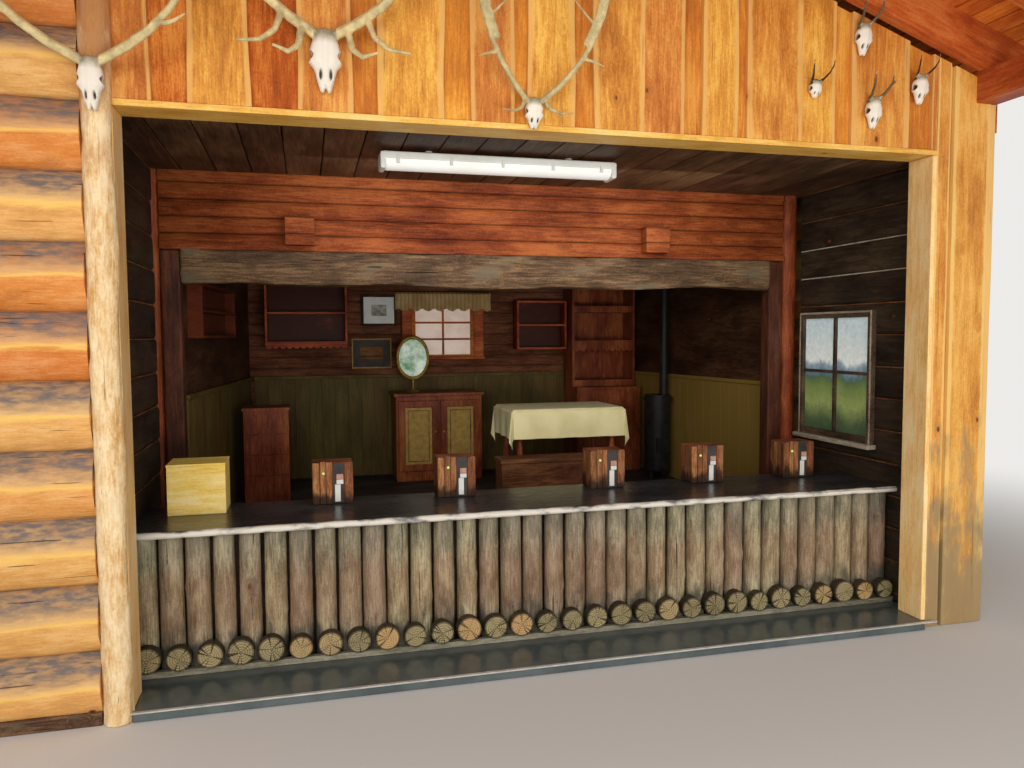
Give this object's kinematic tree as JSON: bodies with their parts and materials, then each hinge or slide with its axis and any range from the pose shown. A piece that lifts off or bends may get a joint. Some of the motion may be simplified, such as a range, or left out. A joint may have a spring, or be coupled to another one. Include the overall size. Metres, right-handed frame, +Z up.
{
  "type": "wooden market hut",
  "caption": "Open-fronted timber hut with log walls, gable roof, pole-fronted counter and a furnished niche behind a hewn beam.",
  "frame": {"origin": "middle of the plan, on the ground", "axes": "+X to the right along the front, +Y from the open front into the hut, +Z up"},
  "size_m": [6.37, 5.508, 4.277],
  "materials": {
    "grey_timber": "weathered grey sawn and hewn timber",
    "log_timber": "stained spruce logs, weathered grey towards the top",
    "pine_board": "oiled pine boards",
    "pine_lining": "pale oiled pine",
    "hewn_timber": "hewn and oiled, with grey streaks",
    "roof_timber": "stained reddish pine",
    "roof_board": "stained reddish pine boards",
    "shingle": "weathered split shingle",
    "dark_board": "dark stained boards",
    "window_frame": "dark frame with a painted panel",
    "red_brown_timber": "red-brown stained timber",
    "ledge_plate": "smooth dark sealed plate",
    "cut_log": "greenish end grain with radial cracks",
    "pole_timber": "weathered peeled poles",
    "counter_board": "dark lacquer, worn pale along the front edge",
    "box_timber": "stained slats",
    "floor_board": "dull dark boards",
    "niche_timber": "dark red-brown log-profile boards",
    "wainscot_paint": "olive painted tongue-and-groove",
    "furniture_timber": "polished red-brown timber",
    "linen": "pale yellow linen",
    "stove_iron": "blacked iron",
    "lamp_white": "white moulded housing with a clear cover",
    "pelmet_cloth": "gathered natural lace",
    "frame_timber": "dark frame with a pale inner edge",
    "gilt_frame": "gilt frame round a mirror",
    "bone": "bleached skulls with grey-brown antlers"
  },
  "bodies": {
    "root": {"ground_sill": "grey_timber", "front_logs": "log_timber", "left_logs": "log_timber", "right_logs": "log_timber", "back_logs": "log_timber", "corner_posts": "pine_board", "hewn_post": "hewn_timber", "right_pier": "pine_board", "opening_lining": "pine_lining", "front_gable": "pine_board", "back_gable": "pine_board", "ridge_beam": "roof_timber", "eave_beams": "roof_timber", "rafters": "roof_timber", "roof_deck": "roof_board", "shingles": "shingle", "ridge_cap": "shingle", "barge_boards": "roof_timber", "antler_mounts": "bone", "ceiling": "dark_board", "inner_walls": "dark_board", "painted_window": "window_frame", "outer_posts": "red_brown_timber", "inner_posts": "dark_board", "bulkhead": "red_brown_timber", "hewn_beam": "grey_timber", "ledge": "ledge_plate", "foot_strip": "grey_timber", "foot_logs": "cut_log", "palisade": "pole_timber", "counter_wall": "dark_board", "counter_top": "counter_board", "counter_boxes": "box_timber", "hut_floor": "floor_board", "stage_floor": "floor_board", "niche_back": "niche_timber", "niche_sides": "niche_timber", "wainscot": "wainscot_paint", "niche_window": "furniture_timber", "window_pelmet": "pelmet_cloth", "wall_shelves": "furniture_timber", "wall_frames": "frame_timber", "dresser": "furniture_timber", "oval_mirror": "gilt_frame", "tall_cupboard": "furniture_timber", "table": "furniture_timber", "tablecloth": "linen", "stove": "stove_iron", "chest": "furniture_timber", "drawer_cabinet": "furniture_timber", "lamp": "lamp_white"}
  },
  "joints": []
}
